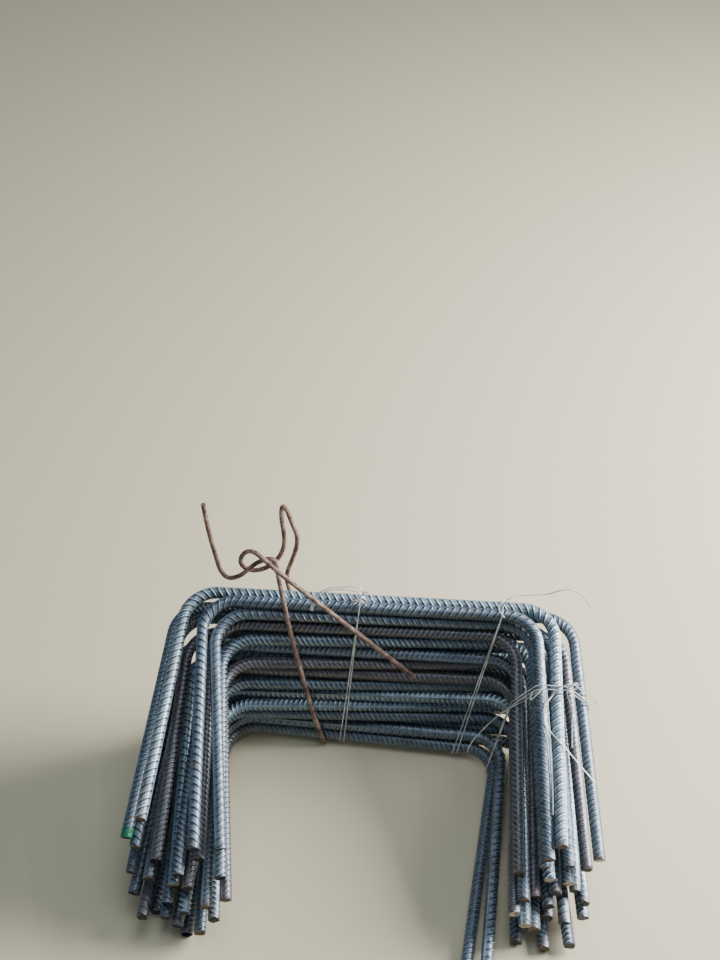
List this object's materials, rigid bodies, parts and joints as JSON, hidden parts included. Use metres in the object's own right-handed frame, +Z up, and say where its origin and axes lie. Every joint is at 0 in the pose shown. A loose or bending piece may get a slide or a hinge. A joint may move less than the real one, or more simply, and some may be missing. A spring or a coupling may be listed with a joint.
{
  "type": "rebar bundle",
  "caption": "Bundle of ribbed reinforcing bars bent to a U, stacked with their webs in one pile and tied with wire rod and binding wire.",
  "frame": {"origin": "on the floor under the middle of the bundle's bounding box", "axes": "+X to the right along the webs, +Y to the back where the webs are piled, legs towards -Y, +Z up"},
  "size_m": [0.6124, 0.4901, 0.3887],
  "materials": {
    "rebar": "hot rolled, blue-grey mill scale with spots of rust",
    "rusty_rod": "hot rolled wire rod, evenly rusted",
    "galvanised_wire": "galvanised, dull"
  },
  "bodies": {
    "root": {"u_bar_01": "rebar", "u_bar_02": "rebar", "u_bar_03": "rebar", "u_bar_04": "rebar", "u_bar_05": "rebar", "u_bar_06": "rebar", "u_bar_07": "rebar", "u_bar_08": "rebar", "u_bar_09": "rebar", "u_bar_10": "rebar", "u_bar_11": "rebar", "u_bar_12": "rebar", "u_bar_13": "rebar", "u_bar_14": "rebar", "u_bar_15": "rebar", "u_bar_16": "rebar", "u_bar_17": "rebar", "u_bar_18": "rebar", "u_bar_19": "rebar", "u_bar_20": "rebar", "u_bar_21": "rebar", "u_bar_22": "rebar", "u_bar_23": "rebar", "u_bar_24": "rebar", "u_bar_25": "rebar", "u_bar_26": "rebar", "binding_wire_corner": "galvanised_wire", "binding_wire_legs": "galvanised_wire", "binding_wire_middle": "galvanised_wire", "wire_rod_tie": "rusty_rod"}
  },
  "joints": []
}
